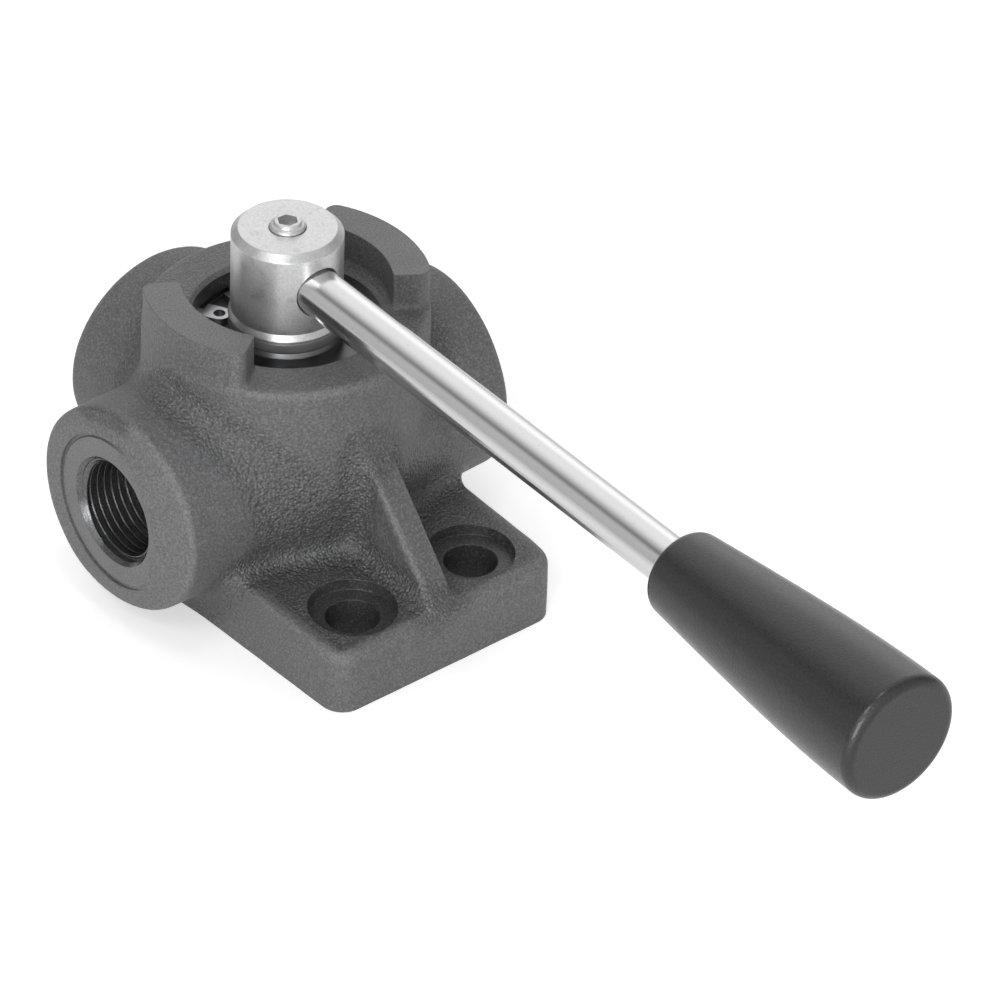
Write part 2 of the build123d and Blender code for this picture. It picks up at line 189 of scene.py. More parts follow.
floor_mesh = bpy.data.meshes.new("studio_floor")
floor_mesh.from_pydata(
    [(x * floor_half, y * floor_half, 0) for x, y in ((-1, -1), (1, -1), (1, 1), (-1, 1))],
    [], [(0, 1, 2, 3)])
floor = bpy.data.objects.new("studio_floor", floor_mesh)
bpy.context.scene.collection.objects.link(floor)

floor_material, tree, shader, place = new_material("pale_paper_sheet")
ray = add(tree, "ShaderNodeLightPath")
far = add(tree, "ShaderNodeVectorMath", {"operation": "LENGTH"}, {0: place}).outputs["Value"]
mirrored = add(tree, "ShaderNodeMath", {"operation": "MULTIPLY"}, {
    0: ray.outputs["Is Glossy Ray"], 1: spread(tree, far, 0.1, 0.4, 0.5, 0.0)})
seen = add(tree, "ShaderNodeMath", {"operation": "MAXIMUM"}, {
    0: ray.outputs["Is Camera Ray"], 1: mirrored.outputs[0]})
seen = add(tree, "ShaderNodeMath", {"operation": "MAXIMUM"}, {
    0: seen.outputs[0], 1: ray.outputs["Is Transmission Ray"]})
glow = add(tree, "ShaderNodeMath", {"operation": "MULTIPLY"}, {0: seen.outputs[0], 1: sheet_glow})
shader.inputs["Base Color"].default_value = sheet_colour
shader.inputs["Roughness"].default_value = 0.9
shader.inputs["Emission Color"].default_value = (1, 1, 1, 1)
tree.links.new(glow.outputs[0], shader.inputs["Emission Strength"])
floor_mesh.materials.append(floor_material)


# %% Light tent
def lobe(tree, direction, toward, outer_deg, inner_deg, power):
    """Light from round one direction that fades out smoothly between two angles."""
    facing = add(tree, "ShaderNodeVectorMath", {"operation": "DOT_PRODUCT"}, {
        0: direction, 1: tuple(Vector(toward).normalized())}).outputs["Value"]
    return add(tree, "ShaderNodeMapRange", {"interpolation_type": "SMOOTHSTEP"}, {
        "Value": facing, "From Min": math.cos(math.radians(outer_deg)),
        "From Max": math.cos(math.radians(inner_deg)), "To Max": power}).outputs["Result"]


def total(tree, *values):
    """The sum of some sockets."""
    result = values[0]
    for value in values[1:]:
        result = add(tree, "ShaderNodeMath", {"operation": "ADD"}, {
            0: result, 1: value}).outputs[0]
    return result


world = bpy.data.worlds.new("studio_world")
bpy.context.scene.world = world
world.use_nodes = True
tree = world.node_tree
tree.nodes.clear()
direction = add(tree, "ShaderNodeTexCoord").outputs["Generated"]
tent = total(
    tree,
    lobe(tree, direction, (0.0, 0.2, 1.0), 95, 20, 0.10),
    lobe(tree, direction, (0.45, 0.55, 0.75), 58, 12, 0.84),
    lobe(tree, direction, (-0.77, 0.61, 0.15), 32, 16, 0.42),
    lobe(tree, direction, (0.80, 0.60, 0.05), 42, 10, 0.46),
    lobe(tree, direction, (-0.74, -0.14, 0.66), 22, 8, 1.1),
    lobe(tree, direction, (0.35, -0.85, 0.15), 60, 10, 0.35),
    lobe(tree, direction, (-0.70, -0.70, 0.20), 75, 20, 0.48))
tent = add(tree, "ShaderNodeMath", {"operation": "ADD"}, {0: tent, 1: 0.13}).outputs[0]
ray = add(tree, "ShaderNodeLightPath")
ambient = add(tree, "ShaderNodeBackground", inputs={"Color": (1, 1, 1, 1), "Strength": tent})
white = add(tree, "ShaderNodeBackground", inputs={"Color": (1, 1, 1, 1), "Strength": 1.0})
sky = add(tree, "ShaderNodeMixShader", inputs={
    0: ray.outputs["Is Camera Ray"], 1: ambient.outputs[0], 2: white.outputs[0]})
add(tree, "ShaderNodeOutputWorld", inputs={"Surface": sky.outputs[0]})


def soft_box(name, place, aim, size, power):
    """A square area lamp that looks at a point."""
    data = bpy.data.lights.new(name, "AREA")
    data.shape = "SQUARE"
    data.size = size
    data.energy = power
    lamp = bpy.data.objects.new(name, data)
    lamp.location = place
    lamp.rotation_mode = "QUATERNION"
    lamp.rotation_quaternion = (Vector(aim) - Vector(place)).to_track_quat("-Z", "Y")
    bpy.context.scene.collection.objects.link(lamp)


soft_box("key_box", (-1.25, -1.10, 0.48), (0.0, -0.05, 0.05), 0.8, 13.0)
soft_box("front_box", (0.4, -1.6, 0.45), (0.0, -0.1, 0.05), 2.6, 4.0)
soft_box("top_box_left", (-0.88, -0.48, 1.25), (0.0, -0.1, 0.05), 0.35, 2.2)
soft_box("top_box", (-0.16, -0.25, 1.60), (0.0, -0.1, 0.05), 0.35, 1.8)
print("studio lamps:", len(bpy.data.lights))

# %% [markdown]
# ## The casting as a field of distances
# Molten iron fills a sand mould, and sand can't hold a sharp inner corner, so every place
# where two forms meet is a soft blend. Modelling such blends with bevels fails where four
# forms meet. A field of distances does it in one line: each form is a formula that is negative
# inside, and a rounded union of two formulas has the blend's radius as a number. Blender's
# volume library then draws the skin where the field is zero.

# %% Sizes of the casting, in millimetres
body_low, body_high = (Vector(corner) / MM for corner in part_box("valve_body"))
port_reach = body_high.x
foot_front = -body_low.y
lug_top = body_high.z
port_height = mounts["port_a"]["pos_m"][2] / MM
thread_radius = mounts["port_a"]["dims"]["r_mm"]
bolt_hole_radius = mounts["foot_bolts"]["dims"]["hole_r_mm"]
bolt_spacing = mounts["foot_bolts"]["dims"]["spacing_x_mm"]
bolt_row = mounts["foot_bolts"]["pos_m"][1] / MM

tower_radius = 35.4
tower_waist = 3.6
floor_height = 69.5
lug_inner_radius = 25.8
lug_half_angle = math.radians(34.4)
boss_radius = 26.9
boss_draft = 0.02
boss_rim_round = 1.2
face_offset = 6.5
face_drop = 1.4
face_radius = 21.8
face_fall = 0.37
foot_half_width = 34.9
foot_taper = 0.012
foot_rise = 0.042
foot_back = 24.0
foot_thickness = 17.0
foot_corner_round = 6.0
rib_half_width = 4.0
rib_toe = Vector((-(foot_front - 2.2), foot_thickness))
rib_head = Vector((-tower_radius, 48.5))
rib_round = 1.3
cast_edge_round = 1.8
lug_end_round = 3.2
boss_blend = 6.0
foot_blend = 6.0
lug_blend = 1.4
port_turns = {"port_a": 180, "port_b": 0, "port_p": 90}
face_sides = {"port_a": -1, "port_b": 1, "port_p": 0}


# %% The casting's formulas
def joined(first, second, blend):
    """Union of two fields with an inner corner of radius blend."""
    a = np.maximum(blend - first, 0)
    b = np.maximum(blend - second, 0)
    return np.maximum(blend, np.minimum(first, second)) - np.hypot(a, b)


def common(first, second, edge):
    """Intersection of two fields with an outer edge of radius edge."""
    a = np.maximum(edge + first, 0)
    b = np.maximum(edge + second, 0)
    return np.minimum(-edge, np.maximum(first, second)) + np.hypot(a, b)


def foot_top(y):
    """The height of the foot's top, which rises a little towards the tower."""
    return foot_thickness + foot_rise * (y + foot_front)


def tower_field(x, y, z):
    """The tower, which draws in to a waist below the bosses."""
    t = np.clip((38 - z) / 20, 0, 1)
    side = np.hypot(x, y) - tower_radius + tower_waist * t * t * (3 - 2 * t)
    return common(side, z - floor_height, cast_edge_round)


def boss_field(x, y, z, port):
    """A round boss with a little draft. Its raw face falls away on one side, past a line that
    the face cutter doesn't reach."""
    angle = math.radians(port_turns[port])
    along = x * math.cos(angle) + y * math.sin(angle)
    across = -x * math.sin(angle) + y * math.cos(angle)
    rise = z - port_height
    past = np.hypot(across - face_sides[port] * face_offset, rise + face_drop) - face_radius
    fall = face_fall * (past + np.hypot(past, 1.0)) / 2
    side = np.hypot(across, rise) - boss_radius - boss_draft * (port_reach - along)
    return np.maximum(common(side, along - port_reach + fall, boss_rim_round), -along)


def foot_field(x, y, z):
    """The foot, whose top edge is soft in front and crisper at the sides."""
    side = np.abs(x) - (foot_half_width + foot_taper * (y + foot_front / 2))
    plan = common(side, -foot_front - y, foot_corner_round)
    plan = common(plan, y - foot_back, foot_corner_round)
    edge = 2.6 - 1.3 * np.clip((y + foot_front - 2) / 8, 0, 1)
    return common(plan, z - foot_top(np.minimum(y, -20)), edge)


def rib_field(x, y, z):
    """The rib under the lever, a slab below a sloping line, and its blend, wide on the left."""
    run = (rib_head - rib_toe).normalized()
    slope = -run.y * (y - rib_toe.x) + run.x * (z - rib_toe.y)
    under = -0.72 * (y - rib_toe.x) - 0.69 * (z - rib_toe.y)
    profile = common(slope, under, rib_round)
    profile = np.maximum(profile, np.maximum(z - rib_head.y - cast_edge_round, y))
    return common(np.abs(x) - rib_half_width, profile, rib_round), 3.4 - 1.8 * np.tanh(x / 3)


def lug_field(x, y, z):
    around = np.hypot(x, y)
    end = np.abs(y) * math.cos(lug_half_angle) - np.abs(x) * math.sin(lug_half_angle)
    outer = common(around - tower_radius, end, lug_end_round)
    return np.maximum(common(outer, lug_inner_radius - around, 0.8), z - lug_top - 1)


def unevenness(x, y, z):
    """Sand moves a little under the iron: shallow waves of a tenth of a millimetre."""
    wave = np.sin(x / 3.1 + 1.3 * np.sin(z / 5.3)) * np.sin(y / 3.7 + np.sin(x / 6.1))
    return 0.06 * (1 + wave * np.sin(z / 2.9 + 0.8 * np.sin(y / 4.7)))


def casting_field(x, y, z, extra=0.0):
    """The raw casting. extra widens its blends, which tells how near a point is to one."""
    body = tower_field(x, y, z)
    for port in port_turns:
        body = joined(body, boss_field(x, y, z, port), boss_blend + extra)
    body = joined(body, foot_field(x, y, z), foot_blend + extra)
    rib, rib_blend = rib_field(x, y, z)
    body = joined(body, rib, rib_blend + extra)
    return joined(body, lug_field(x, y, z), lug_blend) + unevenness(x, y, z)


# %% From field to skin
voxel = 0.85
margin = 3.0


def skin_of(field, low, high):
    """Points and four-sided faces where the field is zero, between two corners in mm."""
    axes = [np.arange(a - margin, b + margin, voxel) for a, b in zip(low, high)]
    grid = np.meshgrid(*axes, indexing="ij")
    volume = openvdb.FloatGrid(2 * margin)
    volume.copyFromArray(field(*grid).astype(np.float32))
    points, faces = volume.convertToQuads(0.0)
    points = points.astype(float) * voxel + np.array([axis[0] for axis in axes])
    probe = 0.05
    for _ in range(3):
        height = field(*points.T)
        slope = np.stack([
            (field(*(points + step).T) - field(*(points - step).T)) / (2 * probe)
            for step in probe * np.eye(3)], axis=1)
        steep = np.maximum((slope**2).sum(1), 0.25)
        points -= slope * np.clip(height / steep, -voxel / 2, voxel / 2)[:, None]
    return points, faces


def new_piece(name, points, faces):
    mesh = bpy.data.meshes.new(name)
    mesh.from_pydata(points, [], faces)
    mesh.validate()
    piece = bpy.data.objects.new(name, mesh)
    bpy.context.scene.collection.objects.link(piece)
    return piece


def volume_of(mesh):
    """Signed volume, which is negative where the faces point inwards."""
    mesh.calc_loop_triangles()
    corners = np.empty(len(mesh.loop_triangles) * 3, np.int32)
    mesh.loop_triangles.foreach_get("vertices", corners)
    co = np.empty(len(mesh.vertices) * 3)
    mesh.vertices.foreach_get("co", co)
    a, b, c = co.reshape(-1, 3)[corners].reshape(-1, 3, 3).transpose(1, 0, 2)
    return float((a * np.cross(b, c)).sum() / 6)


raw_points, raw_faces = skin_of(
    casting_field,
    (-port_reach, -foot_front, -1.0),
    (port_reach, port_reach, lug_top + 1.0))
body = new_piece("body_casting", raw_points * MM, raw_faces.tolist())
if volume_of(body.data) < 0:
    body.data.flip_normals()
print("raw casting:", len(raw_faces), "faces,", round(volume_of(body.data) * 1e6, 1), "cm3")

# %% [markdown]
# ## Machining
# After casting, the foot, the lug tops, the bore, the port faces and the bolt seats are cut.
# These are exact forms, so each cutter is a turned or a plain solid, and a Boolean modifier
# takes it away. The cut faces keep the cutter's material, so they get the smoother finish.


# %% Cutters
def turned(name, outline, steps, turn=None, height=0.0):
    """A solid of revolution about Z, or about a level port axis where turn is given.
    The outline is (distance along the axis, radius), from pole to pole or round a ring."""
    points, rings = [], []
    for along, radius in outline:
        count = steps if radius > 0 else 1
        rings.append(range(len(points), len(points) + count))
        for i in range(count):
            angle = 2 * math.pi * i / steps
            points.append((radius * math.cos(angle), radius * math.sin(angle), along))
    faces = []
    pairs = list(zip(rings, rings[1:]))
    if outline[0][1] > 0:
        pairs.append((rings[-1], rings[0]))
    for ring, above in pairs:
        for i in range(steps):
            j = (i + 1) % steps
            corners = [ring[i % len(ring)], ring[j % len(ring)]]
            corners += [above[j % len(above)], above[i % len(above)]]
            faces.append(tuple(dict.fromkeys(corners)))
    piece = new_piece(name, points, faces)
    spin = Matrix.Identity(4)
    if turn is not None:
        spin = Matrix.Rotation(math.radians(turn), 4, "Z") @ Matrix.Rotation(math.pi / 2, 4, "Y")
    piece.data.transform(Matrix.Scale(MM, 4) @ Matrix.Translation((0, 0, height)) @ spin)
    if volume_of(piece.data) < 0:
        piece.data.flip_normals()
    return piece


def block(name, low, high):
    """A plain block between two corners in mm."""
    corners = [(x, y, z) for x in (low[0], high[0]) for y in (low[1], high[1])
               for z in (low[2], high[2])]
    sides = [(0, 1, 3, 2), (4, 6, 7, 5), (0, 4, 5, 1), (2, 3, 7, 6), (0, 2, 6, 4), (1, 5, 7, 3)]
    piece = new_piece(name, np.array(corners) * MM, sides)
    if volume_of(piece.data) < 0:
        piece.data.flip_normals()
    return piece


bore_radius = 23.3
bore_bottom = 12.0
bore_chamfer = 1.1
groove_low = 62.4
groove_high = 64.15
groove_depth = 1.3
pitch = 2.117
thread_depth = 1.15
thread_minor = thread_radius - thread_depth
thread_turns = 10.0
thread_begin = 32.64
thread_foot_width = 1.76
thread_crest_width = 0.27
thread_overcut = 0.15
mouth_radius = 14.5
spot_radius = 20.5
spot_groove_width = 1.0
spot_groove_depth = 0.5
spot_plane = port_reach - 0.45
pocket_radius = 11.87
pocket_end = 35.4
clip_start = 33.6
clip_end = 34.6
clip_groove_radius = 12.57
bolt_seat_radius = 11.0
bolt_seat_height = 14.8
outside = 12.0

bore_outline = [
    (bore_bottom, 0), (bore_bottom, bore_radius), (groove_low, bore_radius),
    (groove_low, bore_radius + groove_depth), (groove_high, bore_radius + groove_depth),
    (groove_high, bore_radius), (floor_height - bore_chamfer, bore_radius),
    (floor_height, bore_radius + bore_chamfer), (lug_top + outside, bore_radius + bore_chamfer),
    (lug_top + outside, 0)]
port_outline = [
    (0, 0), (0, pocket_radius), (clip_start, pocket_radius), (clip_start, clip_groove_radius),
    (clip_end, clip_groove_radius), (clip_end, pocket_radius), (pocket_end, pocket_radius),
    (pocket_end, thread_minor),
    (spot_plane - (mouth_radius - thread_minor), thread_minor),
    (spot_plane, mouth_radius), (spot_plane, spot_radius - spot_groove_width),
    (spot_plane - spot_groove_depth, spot_radius - 0.8 * spot_groove_width),
    (spot_plane - spot_groove_depth, spot_radius),
    (port_reach + outside, spot_radius), (port_reach + outside, 0)]
bolt_outline = [
    (-outside, 0), (-outside, bolt_hole_radius), (bolt_seat_height, bolt_hole_radius),
    (bolt_seat_height, bolt_seat_radius), (bolt_seat_height + outside, bolt_seat_radius),
    (bolt_seat_height + outside, 0)]

cutters = [
    block("foot_mill", (-90, -90, -30), (90, 90, 0)),
    block("lug_mill", (-90, -90, lug_top), (90, 90, lug_top + 30)),
    turned("bore_cutter", bore_outline, 160)]
for port, turn in port_turns.items():
    cutters.append(turned(f"{port}_cutter", port_outline, 128, turn, port_height))
for side in (-1, 1):
    drill = turned("bolt_drill", bolt_outline, 96)
    drill.data.transform(Matrix.Translation((side * bolt_spacing / 2 * MM, bolt_row * MM, 0)))
    cutters.append(drill)
print("cutters:", len(cutters))

# %% [markdown]
# ## Threads, with Geometry Nodes
# A thread is one groove that winds inwards. It follows a path, so Geometry Nodes draw it: a
# spiral carries a section, and the same groove is set in all three ports. The groove is a
# cutter, so the mouth's chamfer and the threads meet as they do on the real part.


# %% Thread cutter
def thread_tree():
    """Nodes that sweep a thread's section along a spiral and place it in each port."""
    tree = bpy.data.node_groups.new("port_threads", "GeometryNodeTree")
    for name, value in (
            ("Pitch", pitch), ("Turns", thread_turns), ("Thread radius", thread_radius),
            ("Section height", thread_depth + thread_overcut),
            ("Section foot", thread_foot_width), ("Section crest", thread_crest_width),
            ("Start", thread_begin),
            ("Port height", port_height)):
        socket = tree.interface.new_socket(name, in_out="INPUT", socket_type="NodeSocketFloat")
        socket.default_value = value
    tree.interface.new_socket("Material", in_out="INPUT", socket_type="NodeSocketMaterial")
    tree.interface.new_socket("Geometry", in_out="OUTPUT", socket_type="NodeSocketGeometry")
    given = add(tree, "NodeGroupInput").outputs
    length = add(tree, "ShaderNodeMath", {"operation": "MULTIPLY"}, {
        0: given["Pitch"], 1: given["Turns"]})
    middle = add(tree, "ShaderNodeMath", {"operation": "MULTIPLY_ADD"}, {
        0: given["Section height"], 1: -0.5, 2: given["Thread radius"]})
    spiral = add(tree, "GeometryNodeCurveSpiral", inputs={
        "Resolution": 56, "Rotations": given["Turns"], "Start Radius": middle.outputs[0],
        "End Radius": middle.outputs[0], "Height": length.outputs[0], "Reverse": True})
    upright = add(tree, "GeometryNodeSetCurveNormal", {"mode": "Z_UP"}, {
        "Curve": spiral.outputs[0]})
    section = add(tree, "GeometryNodeCurvePrimitiveQuadrilateral", {"mode": "TRAPEZOID"}, {
        "Height": given["Section height"], "Bottom Width": given["Section foot"],
        "Top Width": given["Section crest"], "Offset": 0.0})
    facing = add(tree, "GeometryNodeTransform", inputs={
        "Geometry": section.outputs[0], "Rotation": (0, 0, math.pi / 2)})
    groove = add(tree, "GeometryNodeCurveToMesh", inputs={
        "Curve": upright.outputs[0], "Profile Curve": facing.outputs[0], "Fill Caps": True})
    start = add(tree, "ShaderNodeCombineXYZ", inputs={"Z": given["Start"]})
    pushed = add(tree, "GeometryNodeTransform", inputs={
        "Geometry": groove.outputs[0], "Translation": start.outputs[0]})
    laid = add(tree, "GeometryNodeTransform", inputs={
        "Geometry": pushed.outputs[0], "Rotation": (0, math.pi / 2, 0)})
    ports = add(tree, "GeometryNodePoints", inputs={"Count": len(port_turns)})
    index = add(tree, "GeometryNodeInputIndex")
    turn = add(tree, "ShaderNodeMath", {"operation": "MULTIPLY"}, {
        0: index.outputs[0], 1: math.pi / 2})
    rotation = add(tree, "ShaderNodeCombineXYZ", inputs={"Z": turn.outputs[0]})
    placed = add(tree, "GeometryNodeInstanceOnPoints", inputs={
        "Points": ports.outputs[0], "Instance": laid.outputs[0],
        "Rotation": rotation.outputs[0]})
    real = add(tree, "GeometryNodeRealizeInstances", inputs={"Geometry": placed.outputs[0]})
    lift = add(tree, "ShaderNodeCombineXYZ", inputs={"Z": given["Port height"]})
    lifted = add(tree, "GeometryNodeTransform", inputs={
        "Geometry": real.outputs[0], "Translation": lift.outputs[0]})
    small = add(tree, "GeometryNodeTransform", inputs={
        "Geometry": lifted.outputs[0], "Scale": (MM, MM, MM)})
    finished = add(tree, "GeometryNodeSetMaterial", inputs={
        "Geometry": small.outputs[0], "Material": given["Material"]})
    add(tree, "NodeGroupOutput", inputs={0: finished.outputs[0]})
    return tree


def baked(piece):
    """The evaluated mesh of a piece, with its modifiers taken off."""
    evaluated = piece.evaluated_get(bpy.context.evaluated_depsgraph_get())
    mesh = bpy.data.meshes.new_from_object(evaluated)
    piece.modifiers.clear()
    piece.data = mesh
    return piece


threads = new_piece("thread_cutter", [], [])
modifier = threads.modifiers.new("threads", "NODES")
modifier.node_group = thread_tree()
baked(threads)
if volume_of(threads.data) < 0:
    threads.data.flip_normals()
lengths = [round(v / MM, 2) for v in threads.dimensions]
print("thread cutter:", len(threads.data.polygons), "faces, size", lengths)
cutters.append(threads)

# %% [markdown]
# ## Cast iron, blackened
# The casting is grey iron with a dark phosphate coat, which is a matt skin of fine crystals.
# It is not a mirror, so it isn't metallic here. The sand leaves a grain of about a millimetre,
# strong in the inner corners where the mould is hard to ram, and weak on the open walls. An
# attribute on the mesh holds how near a point is to a blend. The grain's depth follows it, and
# so does a painted shade in the inner corners.


# %% Cast iron
def share_of(tree, name):
    """A share that is stored on the mesh."""
    return add(tree, "ShaderNodeAttribute", {"attribute_name": name}).outputs["Fac"]


def grains(tree, place, size_mm):
    """The dents that sand grains leave: rounded cells of random shape."""
    return add(tree, "ShaderNodeTexVoronoi", {"feature": "SMOOTH_F1"}, {
        "Vector": place, "Scale": per(size_mm), "Smoothness": 0.5}).outputs["Distance"]


def worn_edges(tree, radius_mm):
    """A normal that turns softly over each edge, because no real edge is a knife's."""
    return add(tree, "ShaderNodeBevel", {"samples": 6}, {"Radius": radius_mm * MM}).outputs[0]


def cast_iron():
    material, tree, shader, place = new_material("phosphated_cast_iron")
    rough_and_shaded, dressed_part = share_of(tree, "near_blend"), share_of(tree, "dressed")
    shadow_and_patch, edge = share_of(tree, "settled"), share_of(tree, "rubbed")
    sand = grains(tree, place, 0.85)
    clump = noise(tree, place, 2.4, 3.0, 0.6)
    cloud = noise(tree, place, 17.0, 2.0)
    fine = noise(tree, place, 0.6, 3.0, 0.75)
    relief = add(tree, "ShaderNodeMath", {"operation": "MULTIPLY_ADD"}, {
        0: clump, 1: 0.7, 2: sand})
    patchy = spread(tree, cloud, 0.45, 0.65, 0.0, 0.2)
    depth = add(tree, "ShaderNodeMath", {"operation": "ADD", "use_clamp": True}, {
        0: rough_and_shaded, 1: patchy}).outputs[0]
    depth = add(tree, "ShaderNodeMath", {"operation": "MAXIMUM"}, {
        0: depth, 1: spread(tree, shadow_and_patch, 0.0, 1.0, 0.0, 0.6)}).outputs[0]
    depth = add(tree, "ShaderNodeMath", {"operation": "MULTIPLY"}, {
        0: depth, 1: spread(tree, dressed_part, 0.0, 1.0, 1.0, 0.1)}).outputs[0]
    coarse = add(tree, "ShaderNodeBump", inputs={
        "Height": relief.outputs[0], "Distance": 0.42 * MM,
        "Strength": spread(tree, depth, 0.0, 1.0, 0.10, 0.95),
        "Normal": worn_edges(tree, 0.4)})
    normal = bump(tree, fine, 0.30, 0.9, coarse.outputs["Normal"])
    tone = mix_colours(tree, spread(tree, cloud, 0.3, 0.7, 0.0, 1.0),
                       colour("#555556"), colour("#5d5d5e"))
    tone = mix_colours(tree, dressed_part, tone, colour("#606061"))
    # Painted highlight along the rounded edges.
    tone = mix_colours(tree, spread(tree, edge, 0.0, 1.0, 0.0, 0.4), tone, colour("#747475"))
    # Painted shade: the inner corners of the blends are darkened.
    tone = mix_colours(tree, spread(tree, rough_and_shaded, 0.2, 1.0, 0.0, 0.35), tone, colour("#454546"))
    # Painted shade darkens the pits of the grain, and painted glints lighten its crests.
    pit_shade = add(tree, "ShaderNodeMath", {"operation": "MULTIPLY"}, {
        0: spread(tree, sand, 0.30, 0.55, 0.0, 0.6), 1: depth}).outputs[0]
    tone = mix_colours(tree, pit_shade, tone, colour("#39393a"))
    # Painted glints on the crests of the grain.
    crest_glints = add(tree, "ShaderNodeMath", {"operation": "MULTIPLY"}, {
        0: spread(tree, relief.outputs[0], 0.50, 0.34, 0.0, 0.8), 1: depth}).outputs[0]
    # Painted shadow on the foot's level top, and a dark patch on the left boss's rim.
    tone = mix_colours(tree, spread(tree, shadow_and_patch, 0.0, 1.0, 0.0, 0.85), tone, colour("#3a3a3b"))
    tone = mix_colours(tree, spread(tree, fine, 0.49, 0.38, 0.0, 0.55), tone, colour("#39393a"))
    tone = mix_colours(tree, spread(tree, fine, 0.51, 0.64, 0.0, 0.5), tone, colour("#858586"))
    tone = mix_colours(tree, crest_glints, tone, colour("#9a9a9b"))
    tree.links.new(spread(tree, depth, 0.0, 1.0, 0.48, 0.34), shader.inputs["Roughness"])
    shader.inputs["IOR"].default_value = 1.6
    tree.links.new(tone, shader.inputs["Base Color"])
    tree.links.new(normal, shader.inputs["Normal"])
    return material


def cut_iron(name, dark, light, metallic, roughness):
    """A machined face: the same coat over a smooth cut, with a faint grain of the cutter."""
    material, tree, shader, place = new_material(name)
    cloud = noise(tree, place, 7.0, 2.0)
    fine = noise(tree, place, 0.45, 3.0, 0.7)
    tone = mix_colours(tree, spread(tree, cloud, 0.3, 0.7, 0.0, 1.0), colour(dark), colour(light))
    tone = mix_colours(tree, spread(tree, fine, 0.49, 0.38, 0.0, 0.6), tone, colour("#3c3c3d"))
    tone = mix_colours(tree, spread(tree, fine, 0.51, 0.64, 0.0, 0.5), tone, colour("#828283"))
    shader.inputs["Metallic"].default_value = metallic
    shader.inputs["Roughness"].default_value = roughness
    shader.inputs["IOR"].default_value = 1.6
    tree.links.new(tone, shader.inputs["Base Color"])
    tree.links.new(bump(tree, fine, 0.06, 0.8, worn_edges(tree, 0.4)), shader.inputs["Normal"])
    return material


# %% Cutting the casting
iron = cast_iron()
machined = cut_iron("phosphated_machined_iron", "#5c5c5d", "#656566", 0.0, 0.42)
# The tap rubs the coat off the threads, so the bare oiled iron there mirrors the light.
oiled = cut_iron("oiled_bored_iron", "#616162", "#727273", 0.85, 0.2)
# Painted shade: the bolt holes, their seats and the bore below its chamfer get cut iron made
# near-black for the shade deep in them.
shade_dark_cut = cut_iron("shade_darkened_cut_iron", "#242425", "#2e2e2f", 0.0, 0.34)
body_finishes = (iron, machined, oiled, shade_dark_cut)
for finish in body_finishes:
    body.data.materials.append(finish)
for cutter in cutters:
    cutter.data.materials.clear()
    for finish in body_finishes:
        cutter.data.materials.append(finish)
    kind = cutter.name.split(".")[0]
    number = {"thread_cutter": 2, "bolt_drill": 3}.get(kind, 1)
    cutter.data.polygons.foreach_set("material_index", [number] * len(cutter.data.polygons))
    cutter.hide_render = True
    step = body.modifiers.new(cutter.name, "BOOLEAN")
    step.operation = "DIFFERENCE"
    step.solver = "MANIFOLD"
    step.material_mode = "INDEX"
    step.object = cutter
baked(body)
for cutter in cutters:
    bpy.data.objects.remove(cutter)


def face_values(mesh, name, width):
    """One value, or one row of values, for each face of a mesh."""
    values = np.empty(len(mesh.polygons) * width)
    mesh.polygons.foreach_get(name, values)
    return values.reshape(-1, width).T


# %% Which cut faces are oiled, and which get the near-black cut iron of painted shade
centre = face_values(body.data, "center", 3) / MM
finish_index = face_values(body.data, "material_index", 1)[0].astype(int)
for turn in port_turns.values():
    angle = math.radians(turn)
    along = centre[0] * math.cos(angle) + centre[1] * math.sin(angle)
    across = -centre[0] * math.sin(angle) + centre[1] * math.cos(angle)
    in_port = (np.hypot(across, centre[2] - port_height) < mouth_radius - 0.05)
    finish_index[(finish_index == 1) & in_port & (along > bore_radius - 3)] = 2
# The bore below its chamfer gets the same near-black iron, as painted shade.
around = np.hypot(centre[0], centre[1])
in_bore = (around < bore_radius + groove_depth + 0.1) & (centre[2] > bore_bottom - 0.1)
below_chamfer = centre[2] < floor_height - bore_chamfer
finish_index[(finish_index == 1) & in_bore & below_chamfer] = 3
body.data.polygons.foreach_set("material_index", finish_index)
print("faces cast, machined, oiled, seats:", np.bincount(finish_index, minlength=4).tolist())

# %% Where the casting is grainy or dressed smooth, where shadow and a dark patch are painted, and where its edges get a painted highlight
points = np.empty(len(body.data.vertices) * 3)
body.data.vertices.foreach_get("co", points)
points = points.reshape(-1, 3).T / MM
wide_blend = 6.0
deepest_blend = 1.9
near = ((casting_field(*points) - casting_field(*points, wide_blend)) / deepest_blend) ** 1.5

dressed_share = np.zeros(points.shape[1])
for port, turn in port_turns.items():
    angle = math.radians(turn)
    along = points[0] * math.cos(angle) + points[1] * math.sin(angle)
    past_side = np.hypot(
        -points[0] * math.sin(angle) + points[1] * math.cos(angle), points[2] - port_height)
    face = np.clip((boss_radius - 0.4 - past_side) / 0.6, 0, 1) * (along > port_reach - 5)
    dressed_share = np.maximum(dressed_share, face)

# Painted shadow on the level top of the foot, inside its edges and in front of the tower.
inside = np.minimum(foot_half_width - np.abs(points[0]), points[1] + foot_front)
level_top = np.clip((1.6 - np.abs(points[2] - foot_top(points[1]))) / 0.8, 0, 1)
settled = np.clip((inside - 2.6) / 1.2, 0, 1) * level_top * (points[1] < -20)
# A dark patch is also painted over the top of the left boss's rim.
rim_patch_inner_radius = 23.2
rim_patch_low = 54.4
rim_patch_side = -4.5
rim_patch_end = -50.2
past_side = np.hypot(points[1], points[2] - port_height) - rim_patch_inner_radius
on_top = np.clip((points[2] - rim_patch_low) / 0.8, 0, 1) * np.clip(points[1] - rim_patch_side, 0, 1)
rim_dark_patch = np.clip((rim_patch_end - points[0]) / 0.6, 0, 1) * np.clip(past_side / 0.5, 0, 1) * on_top
settled = np.maximum(settled, 0.8 * rim_dark_patch)
